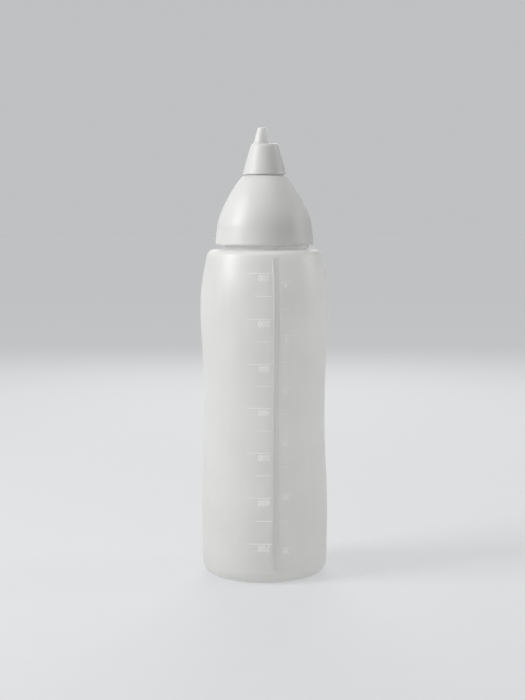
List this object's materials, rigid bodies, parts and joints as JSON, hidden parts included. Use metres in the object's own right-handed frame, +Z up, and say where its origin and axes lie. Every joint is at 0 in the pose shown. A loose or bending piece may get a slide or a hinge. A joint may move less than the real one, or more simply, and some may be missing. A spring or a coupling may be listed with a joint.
{
  "type": "squeeze bottle",
  "caption": "Condiment squeeze bottle with a waisted translucent body, a screwed dome lid, a slit valve in the spout and a hinged tip cap with a lifting tab.",
  "frame": {"origin": "centre of the foot ring, on the surface that the bottle stands on", "axes": "+Z up along the bottle's axis; -Y is the front, which carries the graduations; the cap's hinge is at the back, 56 degrees from +X towards +Y"},
  "size_m": [0.0752, 0.0752, 0.2604],
  "materials": {
    "bottle_plastic": "natural translucent low-density polyethylene, satin",
    "lid_plastic": "natural translucent low-density polyethylene, satin",
    "cap_plastic": "natural translucent low-density polyethylene, satin",
    "valve_silicone": "clear silicone, smooth",
    "seal_foam": "white elastomer, matt"
  },
  "bodies": {
    "bottle": {"bottle": "bottle_plastic"},
    "lid_seal": {"lid_seal_ring": "seal_foam"},
    "lid": {"screw_lid": "lid_plastic", "anti_drip_valve": "valve_silicone", "valve_retainer": "lid_plastic"},
    "cap": {"tip_cap": "cap_plastic"}
  },
  "joints": [
    {"name": "lid_lift", "type": "slide", "parent": "bottle", "child": "lid_seal", "axis": [0, 0, 1], "range_m": [0, 0.01]},
    {"name": "lid_turn", "type": "hinge", "parent": "lid_seal", "child": "lid", "pos_m": [0, 0, 0.2], "axis": [0, 0, 1], "range_deg": [0, 720]},
    {"name": "cap_flip", "type": "hinge", "parent": "lid", "child": "cap", "pos_m": [0.00805, 0.01194, 0.2332], "axis": [-0.829, 0.5592, 0], "range_deg": [0, 160]}
  ],
  "couplings": [
    {"joint": "lid_lift", "follows": "lid_turn", "m_per_rad": 0.0007957}
  ]
}
